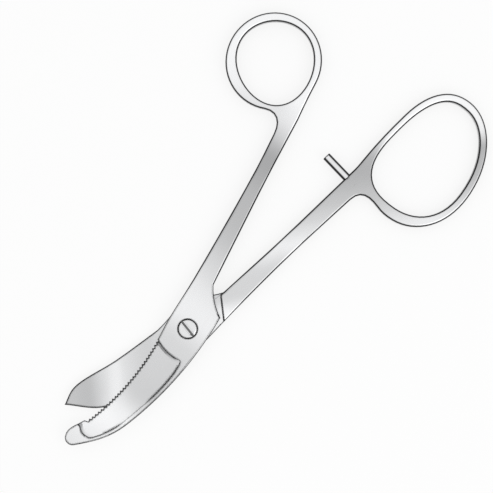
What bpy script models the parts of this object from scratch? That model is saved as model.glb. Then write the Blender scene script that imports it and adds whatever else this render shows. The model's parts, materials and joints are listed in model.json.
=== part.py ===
"""Plaster shears, 24 cm long when closed, lying a little open.

A toothed half with a guarded tip and a round thumb ring crosses a plain half with a long finger
ring. The halves are lapped to half their thickness round a slotted pivot screw, and a stop pin in
the plain half's shank sets how far they close.

World frame: the origin is on the pivot axis in the plane that the shears lie on, +Z runs up the
pivot screw, and +X runs towards the rings along the line that halves the angle of the shanks.

Each half is drawn in a frame of its own: x along its shank from the pivot to the ring, y outwards,
away from the other half, and z outwards from the plane where the halves meet. The plain half is
the same kind of forging turned over about x.
"""
import math

import bmesh
import bpy
from mathutils import Matrix, Vector

# Lap joint, lengths in metres and angles in degrees
JOINT_THICKNESS = 0.0066      # both halves together at the pivot
HANDLE_THICKNESS = 0.0058     # shank and ring of one half
LAP_GAP = 0.0003              # between the two flat lapped faces
REST_ANGLE = 18.3             # between the shanks as the shears lie
BOSS_HALF_WIDTH = 0.00975     # pivot to the outer side of the boss
BOSS_HEEL = 0.0105            # pivot to the heel of the blade
BOSS_CORNER_X = 0.0112        # corner of the boss on the inner side
BOSS_CORNER_Y = 0.0108
FLARE_END_X = 0.0230          # where the flared boss meets the shank
FLARE_HOLLOW = 0.0010         # how far the flare's edge is hollowed
RING_REACH_SHARE = 0.85       # shank's inner side ends this share of a ring's half length before it
SHOULDER_INNER_SHARE = 0.6    # shoulder's ends, as shares of the shank's inner side
SHOULDER_OUTER_SHARE = 0.84   # and of the boss's outer side
FLARE_TRIM_SHARE = 0.93       # lap's far corner, as a share of the shank's inner side
FLARE_TRIM_X = 0.0006         # and how far it lies past the flare
SHOULDER_INNER_X = 0.0213     # shoulder of the lap at the shank's inner side
SHOULDER_OUTER_X = 0.0148     # and at its outer side
BOSS_ROUND = 0.0007           # edge rounding on the boss
BLADE_ROUND = 0.00035         # edge rounding along a blade's back
ROUND_BLEND_X = 0.0400        # where the shank has its full rounding
ROUND_STEPS = 4               # facets across a rounding

# Toothed half, shank and thumb ring
T_SHANK_OUTER = 0.00835       # outer side of the shank near the boss
T_SHANK_INNER = 0.0010        # inner side near the boss, inwards of the axis
T_WAIST_X = 0.0780            # narrowest place of the shank
T_WAIST_OUTER = 0.00675
T_WAIST_INNER = 0.0002        # inner side there, outwards of the axis
T_RING_X = 0.1257             # centre of the thumb ring
T_RING_Y = 0.0226
T_RING_HALF_LENGTH = 0.02235
T_RING_HALF_WIDTH = 0.0218
T_RING_TILT = -7.2
T_RING_WALL_LONG = 0.0034     # ring bar at the ends of the hole's long axis
T_RING_WALL_WIDE = 0.0044     # ring bar at the ends of its short axis
T_HOLE_SHIFT_X = -0.0005
T_HOLE_SHIFT_Y = -0.0012
T_HOLE_TILT = 32.0
T_HOLE_EGG = 0.106
T_NECK_RISE = 0.0093          # fillet between shank and ring, up the ring
T_NECK_RUN = 0.0078           # and back along the shank
T_NECK_SWELL = 0.0004         # how much wider the shank is where the fillet ends
T_ROUND = 0.0015              # edge rounding of shank and ring
T_RING_STEPS = 64             # facets round the ring
T_HOLE_STEPS = 60

# Toothed half, blade
T_BACK_RADIUS = 0.1660        # long curve of the blade's back
T_BACK_LOW_X = 0.0168         # where that curve comes lowest
T_BACK_LOW_Y = 0.0108
T_EDGE_RADIUS = 0.1171        # toothed edge, hollow along its length
T_EDGE_LOW_X = 0.0090
T_EDGE_LOW_Y = 0.0096
T_EDGE_END_X = 0.0584         # last tooth, counted from the pivot
T_BACK_END_X = 0.0500         # where the back starts to turn up to the guard
TOOTH_PITCH = 0.00172
TOOTH_DEPTH = 0.00085
TOOTH_LEAN = 0.38             # where in the pitch the point of a tooth stands
TOOTH_START = 0.6             # first gullet, in pitches from the heel
FILE_ANGLE = 27.0             # how far the gullets' walls lean back from the cutting edge
GUARD_X = 0.0682              # centre of the round guard at the tip
GUARD_Y = 0.0230
GUARD_RADIUS = 0.0035
GUARD_LIP = 0.0019            # step from the guard down to the first tooth
GUARD_ROUND = 0.00045
GUARD_LIP_LEAN = 11.3         # the lip's wall, from square to the shank
GUARD_RAMP = 149.8            # direction in which the lip's ramp leaves
GUARD_TOP = 108.0             # places on the guard's circle where that ramp arrives
GUARD_BACK = 218.0            # and where the blade's back arrives
GUARD_STEPS = 14              # facets round the guard
BLANK_STEPS = 12              # and along the blank's edge, before the teeth are filed
T_TIP_THIN = 0.0006           # how much thinner the blade is at its tip
T_GRIND_EDGE = 0.0009         # thickness left at the teeth
T_GRIND_SINK = 0.0005         # depth of the ground face below the rib
T_FLUSH_SINK = 0.00006        # and in the middle stretch, where it runs out nearly flush
T_FLUSH_X = 0.0455            # centre of that stretch
T_FLUSH_HALF = 0.0062
T_FLUSH_BLEND = 0.0035        # length over which the step comes back
T_GRIND_HOLLOW = 0.00025
T_RIB_HEEL = 0.0040           # rib along the back, at the heel
T_RIB = 0.0017                # and along the rest
T_RIB_FADE = 0.0050           # how fast it narrows
T_GRIND_HEEL_X = 0.0136       # ground face from here, on the rib's side
T_GRIND_TIP_X = 0.0655        # to here
T_GRIND_END_X = 0.0625        # and to here on the side of the teeth
T_GRIND_BULGE = 0.0016        # how round the heel end of the ground face is
T_GRIND_TIP_BULGE = 0.0010    # and its other end

# Plain half, shank and finger ring
P_SHANK_OUTER = 0.0088
P_SHANK_INNER = 0.0008
P_WAIST_X = 0.0580
P_WAIST_OUTER = 0.0081
P_WAIST_INNER = 0.0
P_RING_X = 0.13263
P_RING_Y = 0.02148
P_RING_HALF_LENGTH = 0.0323
P_RING_HALF_WIDTH = 0.0230
P_RING_TILT = -13.6
P_RING_EGG = -0.062
P_RING_SQUARE = 2.14          # 2 is an ellipse, more is squarer
P_RING_BEND = -0.0016
P_RING_WALL_END = 0.0048      # ring bar at the ring's two ends
P_RING_WALL_SIDE = 0.0032     # ring bar along its sides
P_HOLE_SHIFT_X = 0.0004
P_HOLE_SHIFT_Y = -0.0006
P_HOLE_TILT = -7.9
P_HOLE_EGG = -0.154
P_HOLE_SQUARE = 2.35
P_HOLE_BEND = -0.0025
P_NECK_RISE = 0.0115
P_NECK_RUN = 0.0064
P_NECK_SWELL = 0.0007
P_ROUND = 0.0013
P_RING_STEPS = 72
P_HOLE_STEPS = 64

# Plain half, blade
P_BLADE_LENGTH = 0.0646       # pivot to the tip, along the shank's axis
P_TIP_DROP = 0.0137           # tip's distance from that axis
P_BACK_HEEL = 0.0091          # back of the blade beside the heel
P_BACK_MID_X = 0.0335
P_BACK_MID = 0.0122
P_BACK_NOSE_X = 0.0560
P_BACK_NOSE = 0.0165
P_EDGE_MID_X = 0.0300         # cutting edge halfway
P_EDGE_MID = 0.0073
P_EDGE_NOSE_X = 0.0525
P_EDGE_NOSE = -0.0005
P_TIP_THIN = 0.0010
P_GRIND_EDGE = 0.0006
P_GRIND_WIDTH = 0.0075
P_GRIND_HOLLOW = 0.0002

# Pivot screw
SCREW_HEAD_RADIUS = 0.00433
SCREW_HEAD_RISE = 0.0004      # crown above the toothed half
SCREW_HEAD_DEPTH = 0.0014     # head below that half's face
SCREW_NECK_RADIUS = 0.0028
SCREW_THREAD_RADIUS = 0.0024
SCREW_END_BEVEL = 0.0003
SCREW_FIT = 0.00008           # radial clearance in both halves
SCREW_SEAT = 0.0003           # under the head
SLOT_WIDTH = 0.0009
SLOT_DEPTH = 0.0008
SLOT_ANGLE = 76.0             # from world X
ROUND_SIDES = 48

# Stop pin
PIN_X = 0.0998
PIN_RADIUS = 0.00195
PIN_REACH = 0.0133            # from the shank's axis line to the free end
PIN_SEAT = 0.0050             # length inside the shank
PIN_FIT = 0.00006
PIN_BEVEL = 0.00035
PIN_SIDES = 24

HALF = JOINT_THICKNESS / 2
LAP_Z = LAP_GAP / 2
INNER_Z = HALF - HANDLE_THICKNESS

# How far the cutters run past what they cut
CUT_SPARE = HALF * 0.6
CUT_REACH = P_BLADE_LENGTH * 2
RIM_SPARE = LAP_GAP
FILE_SPARE = TOOTH_DEPTH / 4

for old in list(bpy.data.objects):
    bpy.data.objects.remove(old, do_unlink=True)


def collection(name):
    made = bpy.data.collections.new(name)
    bpy.context.scene.collection.children.link(made)
    return made


PARTS = collection("plaster_shears")
CUTTERS = collection("cutters")


def unit(x, y):
    return Vector((x, y)).normalized()


def arc(cx, cy, radius, start, end, count):
    """Points on a circle from one angle to another, both in degrees."""
    points = []
    for k in range(count + 1):
        a = math.radians(start + (end - start) * k / count)
        points.append(Vector((cx + radius * math.cos(a), cy + radius * math.sin(a))))
    return points


def sweep(start, leave, end, arrive, count, pull=0.39, late_pull=None):
    """One smooth curve that leaves and arrives along given directions."""
    span = (end - start).length
    a = start + leave * (span * pull)
    b = end - arrive * (span * (pull if late_pull is None else late_pull))
    points = []
    for k in range(count + 1):
        t = k / count
        s = 1 - t
        points.append(start * s ** 3 + a * (3 * s * s * t) + b * (3 * s * t * t) + end * t ** 3)
    return points


def through(stations, count):
    """A smooth curve through a few stations, with count pieces between each two."""
    first = stations[0] * 2 - stations[1]
    last = stations[-1] * 2 - stations[-2]
    ext = [first] + list(stations) + [last]
    points = [stations[0]]
    for i in range(1, len(ext) - 2):
        p0, p1, p2, p3 = ext[i - 1:i + 3]
        gap0 = max((p1 - p0).length, 1e-9) ** 0.5
        gap1 = max((p2 - p1).length, 1e-9) ** 0.5
        gap2 = max((p3 - p2).length, 1e-9) ** 0.5
        m1 = ((p1 - p0) / gap0 - (p2 - p0) / (gap0 + gap1) + (p2 - p1) / gap1) * gap1
        m2 = ((p2 - p1) / gap1 - (p3 - p1) / (gap1 + gap2) + (p3 - p2) / gap2) * gap1
        for k in range(1, count + 1):
            t = k / count
            h0 = 2 * t ** 3 - 3 * t ** 2 + 1
            h1 = t ** 3 - 2 * t ** 2 + t
            h2 = -2 * t ** 3 + 3 * t ** 2
            h3 = t ** 3 - t ** 2
            points.append(p1 * h0 + m1 * h1 + p2 * h2 + m2 * h3)
    return points


def loop_point(ring, angle):
    """Point of an egg-shaped loop at an angle of its own parameter, in degrees."""
    a = math.radians(angle)
    c, s = math.cos(a), math.sin(a)
    power = 2 / ring.get("square", 2.0)
    x = math.copysign(abs(c) ** power, c)
    y = math.copysign(abs(s) ** power, s)
    wide = ring["half_width"] * y * (1 + ring.get("egg", 0.0) * x) + ring.get("bend", 0.0) * x * x
    long = ring["half_length"] * x
    tilt = math.radians(ring.get("tilt", 0.0))
    ct, st = math.cos(tilt), math.sin(tilt)
    return Vector((ring["x"] + long * ct - wide * st, ring["y"] + long * st + wide * ct))


def lowest_angle(ring):
    """Angle where the loop comes nearest to the other half."""
    return min((loop_point(ring, a / 2).y, a / 2) for a in range(-280, 0))[1]


def near_angle(ring, y):
    """Angle on the side towards the pivot where the loop has a given height."""
    return min((abs(loop_point(ring, a / 4).y - y), a / 4) for a in range(560, 860))[1]


def between(points, low, high):
    """The part of a run between two values of x, for points that run towards -x."""
    found = []
    for a, b in zip(points, points[1:]):
        for level in (high, low):
            if b.x < level <= a.x:
                found.append(a.lerp(b, (level - a.x) / (b.x - a.x)))
        if low < b.x < high:
            found.append(b)
    return sorted(found, key=lambda p: -p.x)


def nearest(points, place):
    return min(range(len(points)), key=lambda k: (points[k] - place).length)


def narrowest(outline, hole):
    """Least width of the ring's bar."""
    least = 1.0
    pts = outline.points
    for p in hole:
        for a, b in zip(pts, pts[1:]):
            side = b - a
            t = min(max((p - a).dot(side) / side.length_squared, 0.0), 1.0)
            least = min(least, (a + side * t - p).length)
    return least


def resample(points, shares):
    """Points at given shares of a polyline's length."""
    lengths = [0.0]
    for a, b in zip(points, points[1:]):
        lengths.append(lengths[-1] + (b - a).length)
    found = []
    for share in shares:
        want = share * lengths[-1]
        i = 0
        while i < len(points) - 2 and lengths[i + 1] < want:
            i += 1
        span = lengths[i + 1] - lengths[i]
        t = (want - lengths[i]) / span if span else 0.0
        found.append(points[i].lerp(points[i + 1], t))
    return found


def offset(points, distance):
    """The polyline moved sideways, to its left for a positive distance."""
    moved = []
    for i, p in enumerate(points):
        before = points[max(i - 1, 0)]
        after = points[min(i + 1, len(points) - 1)]
        along = (after - before).normalized()
        by = distance(p.x) if callable(distance) else distance
        moved.append(p + Vector((-along.y, along.x)) * by)
    return moved


class Outline:
    """A closed outline, anticlockwise, whose edges each carry a rounding."""

    def __init__(self):
        self.points = []
        self.rounds = []
        self.marks = {}

    def run(self, points, rounding, mark=None):
        for p in points:
            value = rounding(p.x) if callable(rounding) else rounding
            if self.points and (p - self.points[-1]).length < 2e-5:
                self.rounds[-1] = value
            else:
                self.points.append(p)
                self.rounds.append(value)
        if mark:
            self.marks[mark] = len(self.points) - 1

    def close(self):
        if (self.points[0] - self.points[-1]).length < 2e-5:
            self.points.pop()
            self.rounds.pop()


def new_object(name, bm, group, matrix):
    mesh = bpy.data.meshes.new(name)
    bm.normal_update()
    bm.to_mesh(mesh)
    bm.free()
    made = bpy.data.objects.new(name, mesh)
    made.matrix_world = matrix
    group.objects.link(made)
    if group is CUTTERS:
        made.hide_render = True
        made.display_type = "WIRE"
    return made


def plate(name, points, low, high, matrix):
    """A cutter with a flat outline and upright walls."""
    bm = bmesh.new()
    base = bm.faces.new([bm.verts.new((p.x, p.y, low)) for p in points])
    made = bmesh.ops.extrude_face_region(bm, geom=[base])
    for vert in made["geom"]:
        if isinstance(vert, bmesh.types.BMVert):
            vert.co.z = high
    bmesh.ops.recalc_face_normals(bm, faces=bm.faces)
    return new_object(name, bm, CUTTERS, matrix)


def face_height(x, tip, thin):
    """Height of a half's outer face, which falls from the heel to the tip of its blade."""
    return HALF - thin * max(0.0, -BOSS_HEEL - x) / (-BOSS_HEEL - tip)


def forging(name, outline, hole, tip_thin, matrix):
    """One half as a flat forging with rounded edges, its ring open and its blade thinned."""
    pts = outline.points
    marks = outline.marks
    bm = bmesh.new()
    outer = [bm.verts.new((p.x, p.y, INNER_Z)) for p in pts]
    inner = [bm.verts.new((p.x, p.y, INNER_Z)) for p in hole]
    count = len(hole)
    far, neck, heel, spine = marks["far"], marks["neck"], marks["heel"], marks["spine"]
    by_far = nearest(hole, pts[far])
    by_neck = nearest(hole, pts[neck])
    lower = (by_far - by_neck) % count
    blade = outer[heel:] + outer[:spine + 1]
    lower_hole = [inner[(by_far - k) % count] for k in range(lower + 1)]
    body = outer[spine:far + 1] + lower_hole + outer[neck:heel + 1]
    upper_hole = [inner[(by_neck - k) % count] for k in range(count - lower + 1)]
    bow = outer[far:neck + 1] + upper_hole
    caps = [bm.faces.new(blade), bm.faces.new(body), bm.faces.new(bow)]
    made = bmesh.ops.extrude_face_region(bm, geom=caps)
    tip = min(p.x for p in pts)
    for vert in made["geom"]:
        if isinstance(vert, bmesh.types.BMVert):
            vert.co.z = face_height(vert.co.x, tip, tip_thin)
    bmesh.ops.recalc_face_normals(bm, faces=bm.faces)
    limit = 0.44 * narrowest(outline, hole)
    rounds = [min(value, limit) for value in outline.rounds]
    widest = max(rounds)
    weight = bm.edges.layers.float.new("bevel_weight_edge")
    wanted = {}
    for i, value in enumerate(rounds):
        a, b = pts[i], pts[(i + 1) % len(pts)]
        wanted[edge_key(a, b)] = value / widest
    for i in range(count):
        wanted[edge_key(hole[i], hole[(i + 1) % count])] = rounds[far] / widest
    for edge in bm.edges:
        a, b = edge.verts
        edge[weight] = wanted.get(edge_key(a.co.xy, b.co.xy), 0.0)
    half = new_object(name, bm, PARTS, matrix)
    bevel = half.modifiers.new("rounded_edges", "BEVEL")
    bevel.limit_method = "WEIGHT"
    bevel.offset_type = "OFFSET"
    bevel.width = widest
    bevel.segments = ROUND_STEPS
    bevel.use_clamp_overlap = False
    bevel.loop_slide = False
    return half


def edge_key(a, b):
    ends = sorted([(round(a.x, 6), round(a.y, 6)), (round(b.x, 6), round(b.y, 6))])
    return tuple(ends)


def cut(target, cutter, name, operation="DIFFERENCE"):
    mod = target.modifiers.new(name, "BOOLEAN")
    mod.operation = operation
    mod.solver = "EXACT"
    mod.object = cutter


def back_round(x):
    """Rounding along a blade's back, from the boss down to the blade's own and up to the tip's."""
    share = min(max((-x - BOSS_HEEL) / BOSS_HEEL, 0.0), 1.0)
    return BOSS_ROUND + (BLADE_ROUND - BOSS_ROUND) * share


def blend_round(full):
    """Rounding that grows from the boss to the full shank."""
    def value(x):
        share = (x - BOSS_CORNER_X) / (ROUND_BLEND_X - BOSS_CORNER_X)
        return BOSS_ROUND + (full - BOSS_ROUND) * min(max(share, 0.0), 1.0)
    return value


def add_handle(outline, spec):
    """Flare, shank and ring, from the boss corner round to the heel of the blade."""
    full = spec["round"]
    ring = spec["ring"]
    corner = Vector((BOSS_CORNER_X, -BOSS_CORNER_Y))
    flare_end = Vector((FLARE_END_X, -spec["shank_inner"]))
    chord = flare_end - corner
    left = Vector((-chord.y, chord.x)).normalized()
    flare = []
    for k in range(7):
        t = k / 6
        flare.append(corner + chord * t + left * (FLARE_HOLLOW * 4 * t * (1 - t)))
    outline.run(flare, BOSS_ROUND)

    start = lowest_angle(ring)
    low = loop_point(ring, start)
    waist = Vector((spec["waist_x"], spec["waist_inner"]))
    inner_side = [flare_end, flare_end.lerp(waist, 0.35), waist]
    shank_end = Vector((ring["x"] - ring["half_length"] * RING_REACH_SHARE, spec["waist_inner"]))
    inner_side.append(shank_end)
    outline.run(through(inner_side, 4), blend_round(full))
    outline.run(sweep(shank_end, unit(1, 0), low, unit(1, 0), 8, 0.12, 0.62), full)

    steps = spec["ring_steps"]
    below = max(2, round(steps * -start / 360))
    outline.run([loop_point(ring, start * (1 - k / below)) for k in range(below + 1)], full, "far")
    neck_angle = near_angle(ring, spec["waist_outer"] + spec["neck_rise"])
    over = round(steps * neck_angle / 360)
    outline.run([loop_point(ring, neck_angle * k / over) for k in range(over + 1)], full)
    top = outline.points[-1]
    arriving = (top - loop_point(ring, neck_angle - 2)).normalized()
    neck = Vector((top.x - spec["neck_run"], spec["waist_outer"] + spec["neck_swell"]))
    fillet = sweep(top, arriving, neck, unit(-1, -0.04), 6, 0.50)
    outline.run(fillet[:4], full, "neck")
    outline.run(fillet[3:], full)

    outer_side = [neck, Vector((spec["waist_x"], spec["waist_outer"]))]
    outer_side.append(Vector((SHOULDER_INNER_X, spec["shank_outer"])))
    outer_side.append(Vector((0.0, BOSS_HALF_WIDTH)))
    outer_side.append(Vector((-BOSS_HEEL, BOSS_HALF_WIDTH)))
    outline.run(through(outer_side, 5), blend_round(full), "heel")


T_RING = {
    "x": T_RING_X,
    "y": T_RING_Y,
    "half_length": T_RING_HALF_LENGTH,
    "half_width": T_RING_HALF_WIDTH,
    "tilt": T_RING_TILT,
}
T_HOLE = {
    "x": T_RING_X + T_HOLE_SHIFT_X,
    "y": T_RING_Y + T_HOLE_SHIFT_Y,
    "half_length": T_RING_HALF_LENGTH - T_RING_WALL_LONG,
    "half_width": T_RING_HALF_WIDTH - T_RING_WALL_WIDE,
    "tilt": T_HOLE_TILT,
    "egg": T_HOLE_EGG,
}
T_HANDLE = {
    "ring": T_RING,
    "round": T_ROUND,
    "shank_inner": T_SHANK_INNER,
    "shank_outer": T_SHANK_OUTER,
    "waist_x": T_WAIST_X,
    "waist_inner": T_WAIST_INNER,
    "waist_outer": T_WAIST_OUTER,
    "ring_steps": T_RING_STEPS,
    "neck_rise": T_NECK_RISE,
    "neck_run": T_NECK_RUN,
    "neck_swell": T_NECK_SWELL,
}
P_RING = {
    "x": P_RING_X,
    "y": P_RING_Y,
    "half_length": P_RING_HALF_LENGTH,
    "half_width": P_RING_HALF_WIDTH,
    "tilt": P_RING_TILT,
    "egg": P_RING_EGG,
    "square": P_RING_SQUARE,
    "bend": P_RING_BEND,
}
P_HOLE = {
    "x": P_RING_X + P_HOLE_SHIFT_X,
    "y": P_RING_Y + P_HOLE_SHIFT_Y,
    "half_length": P_RING_HALF_LENGTH - P_RING_WALL_END,
    "half_width": P_RING_HALF_WIDTH - P_RING_WALL_SIDE,
    "tilt": P_HOLE_TILT,
    "egg": P_HOLE_EGG,
    "square": P_HOLE_SQUARE,
    "bend": P_HOLE_BEND,
}
P_HANDLE = {
    "ring": P_RING,
    "round": P_ROUND,
    "shank_inner": P_SHANK_INNER,
    "shank_outer": P_SHANK_OUTER,
    "waist_x": P_WAIST_X,
    "waist_inner": P_WAIST_INNER,
    "waist_outer": P_WAIST_OUTER,
    "ring_steps": P_RING_STEPS,
    "neck_rise": P_NECK_RISE,
    "neck_run": P_NECK_RUN,
    "neck_swell": P_NECK_SWELL,
}


def hole_points(ring, steps):
    return [loop_point(ring, 360 * k / steps) for k in range(steps)]


def back_curve():
    """Back of the toothed blade, from the boss corner to the guard, in running order."""
    cx, cy = T_BACK_LOW_X, T_BACK_RADIUS - T_BACK_LOW_Y
    def angle(x):
        return math.degrees(math.asin((x - cx) / T_BACK_RADIUS)) - 90
    long = arc(cx, cy, T_BACK_RADIUS, angle(BOSS_CORNER_X), angle(-BOSS_HEEL), 6)
    rest = arc(cx, cy, T_BACK_RADIUS, angle(-BOSS_HEEL), angle(-T_BACK_END_X), 12)
    leaving = (rest[-1] - rest[-2]).normalized()
    guard = Vector((-GUARD_X, GUARD_Y))
    nose = math.radians(GUARD_BACK)
    touch = guard + Vector((math.cos(nose), math.sin(nose))) * GUARD_RADIUS
    arriving = Vector((math.sin(nose), -math.cos(nose)))
    turn = sweep(rest[-1], leaving, touch, arriving, 10)
    return long, rest[:-1] + turn


EDGE_CENTRE = Vector((-T_EDGE_LOW_X, T_EDGE_LOW_Y + T_EDGE_RADIUS))


def tooth_arc(x):
    """Angle on the toothed edge's circle for a distance behind the pivot."""
    return math.degrees(math.asin((T_EDGE_LOW_X - x) / T_EDGE_RADIUS)) - 90


def edge_point(angle, step):
    """Point at an angle on the toothed edge's circle, a step outside it."""
    a = math.radians(angle)
    reach = T_EDGE_RADIUS + step
    return EDGE_CENTRE + Vector((math.cos(a), math.sin(a))) * reach


def direction(angle):
    a = math.radians(angle)
    return Vector((math.cos(a), math.sin(a)))


def tooth_line():
    """Roots and points of the teeth from the heel on, then the top of the lip below the guard."""
    first, last = TOOTH_RANGE
    length = math.radians(first - last) * T_EDGE_RADIUS
    count = max(3, round(length / TOOTH_PITCH))
    step = (last - first) / count
    teeth = []
    for k in range(count):
        teeth.append(edge_point(first + step * k, TOOTH_DEPTH / 2))
        teeth.append(edge_point(first + step * (k + TOOTH_LEAN), -TOOTH_DEPTH / 2))
    teeth.append(edge_point(last, TOOTH_DEPTH / 2))
    lip = teeth[-1] + direction(90 + GUARD_LIP_LEAN) * GUARD_LIP
    return teeth, lip


TOOTH_RANGE = (tooth_arc(BOSS_HEEL + TOOTH_PITCH * TOOTH_START), tooth_arc(T_EDGE_END_X))


def toothed_outline():
    """The toothed half before its teeth are filed."""
    outline = Outline()
    boss_back, blade_back = back_curve()
    outline.run(list(reversed(blade_back)), back_round)
    outline.run(list(reversed(boss_back))[:1], BOSS_ROUND, "spine")
    outline.run(list(reversed(boss_back)), BOSS_ROUND)
    add_handle(outline, T_HANDLE)

    teeth, lip = tooth_line()
    first, last = TOOTH_RANGE
    rise = edge_point(first + (last - first) / len(teeth), -TOOTH_DEPTH)
    shares = [k / BLANK_STEPS for k in range(1, BLANK_STEPS + 1)]
    blank = [edge_point(first + (last - first) * share, -TOOTH_DEPTH) for share in shares]
    outline.run([rise] + blank, 0.0)

    guard = Vector((-GUARD_X, GUARD_Y))
    touch = guard + direction(GUARD_TOP) * GUARD_RADIUS
    ramp_start = lip - direction(GUARD_RAMP) * FILE_SPARE
    ramp = sweep(ramp_start, direction(GUARD_RAMP), touch, direction(GUARD_TOP + 90), 7)
    outline.run(ramp, GUARD_ROUND)
    outline.run(arc(-GUARD_X, GUARD_Y, GUARD_RADIUS, GUARD_TOP, GUARD_BACK, GUARD_STEPS), GUARD_ROUND)
    outline.close()
    return outline, blade_back


def tooth_file(name, matrix):
    """Cuts the gullets and the lip, with walls that lean back from the cutting edge.

    The walls meet the drawn tooth line in the plane where the halves meet. They lean up to the
    ground face and stand upright past it, so that the lip's wall stays below the guard. The file
    starts just outside the heel, and slopes down from there to the first root.
    """
    teeth, lip = tooth_line()
    teeth.insert(0, Vector((-BOSS_HEEL - FILE_SPARE, BOSS_HALF_WIDTH + FILE_SPARE)))
    wall = direction(90 + GUARD_LIP_LEAN)
    beyond = lip + wall * CUT_SPARE
    far = edge_point(TOOTH_RANGE[1], -TOOTH_DEPTH - CUT_SPARE)
    near = edge_point(TOOTH_RANGE[0], -TOOTH_DEPTH - CUT_SPARE)
    back = [(p - EDGE_CENTRE).normalized() for p in teeth[:-1]] + [-wall]
    still = [lip, beyond, far, near]
    lean = math.tan(math.radians(FILE_ANGLE))
    knee = T_GRIND_EDGE + FILE_SPARE
    bm = bmesh.new()
    rows = []
    for height, leaning in ((-FILE_SPARE, -FILE_SPARE), (knee, knee), (HALF + CUT_SPARE, knee)):
        row = [p + by * (lean * leaning) for p, by in zip(teeth, back)] + still
        rows.append([bm.verts.new((p.x, p.y, LAP_Z + height)) for p in row])
    bm.faces.new(rows[0])
    bm.faces.new(rows[-1])
    for low, high in zip(rows, rows[1:]):
        for k in range(len(low)):
            after = (k + 1) % len(low)
            bm.faces.new([low[k], low[after], high[after], high[k]])
    bmesh.ops.triangulate(bm, faces=bm.faces)
    bmesh.ops.recalc_face_normals(bm, faces=bm.faces)
    return new_object(name, bm, CUTTERS, matrix)


def rib_width(x):
    """Width of the rib left along the toothed blade's back, to the left of that back."""
    swell = math.exp((x + T_GRIND_HEEL_X) / T_RIB_FADE)
    return -T_RIB - (T_RIB_HEEL - T_RIB) * min(swell, 1.0)


def toothed_rim(x):
    """Height of the ground face along its rim, nearly flush in the middle of the blade."""
    share = (abs(x + T_FLUSH_X) - T_FLUSH_HALF) / T_FLUSH_BLEND
    share = min(max(share, 0.0), 1.0)
    share = share * share * (3 - 2 * share)
    sink = T_FLUSH_SINK + (T_GRIND_SINK - T_FLUSH_SINK) * share
    return face_height(x, -GUARD_X - GUARD_RADIUS, T_TIP_THIN) - sink


def plain_rim(x):
    return HALF - P_TIP_THIN / 2


def plain_back():
    heel = Vector((-BOSS_HEEL, -P_BACK_HEEL))
    corner = Vector((BOSS_CORNER_X, -BOSS_CORNER_Y))
    boss = sweep(corner, unit(-1, 0.0), heel, unit(-1, 0.0), 6)
    stations = [heel, Vector((-P_BACK_MID_X, -P_BACK_MID)), Vector((-P_BACK_NOSE_X, -P_BACK_NOSE))]
    stations.append(Vector((-P_BLADE_LENGTH, -P_TIP_DROP)))
    return boss, through(stations, 9)


def plain_edge():
    stations = [Vector((-BOSS_HEEL, BOSS_HALF_WIDTH)), Vector((-P_EDGE_MID_X, P_EDGE_MID))]
    stations.append(Vector((-P_EDGE_NOSE_X, P_EDGE_NOSE)))
    stations.append(Vector((-P_BLADE_LENGTH, -P_TIP_DROP)))
    return through(stations, 10)


def plain_outline():
    outline = Outline()
    boss_back, blade_back = plain_back()
    outline.run(list(reversed(blade_back)), back_round)
    outline.run(list(reversed(boss_back))[:1], BOSS_ROUND, "spine")
    outline.run(list(reversed(boss_back)), BOSS_ROUND)
    add_handle(outline, P_HANDLE)
    outline.run(plain_edge(), 0.0)
    outline.close()
    return outline


def lap_cutter(name, spec, matrix):
    """Takes the half away below the meeting plane, on the blade's side of the shoulder."""
    inner = Vector((SHOULDER_INNER_X, -spec["shank_inner"] * SHOULDER_INNER_SHARE))
    outer = Vector((SHOULDER_OUTER_X, BOSS_HALF_WIDTH * SHOULDER_OUTER_SHARE))
    beyond = outer + (outer - inner) / 2
    trim = Vector((FLARE_END_X + FLARE_TRIM_X, -spec["shank_inner"] * FLARE_TRIM_SHARE))
    points = [beyond, inner, trim, Vector((trim.x + FLARE_TRIM_X, -CUT_REACH))]
    points.append(Vector((-CUT_REACH, -CUT_REACH)))
    points.append(Vector((-CUT_REACH, CUT_REACH)))
    points.append(Vector((beyond.x, CUT_REACH)))
    points.reverse()
    return plate(name, points, INNER_Z - CUT_SPARE, LAP_Z, matrix)


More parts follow.
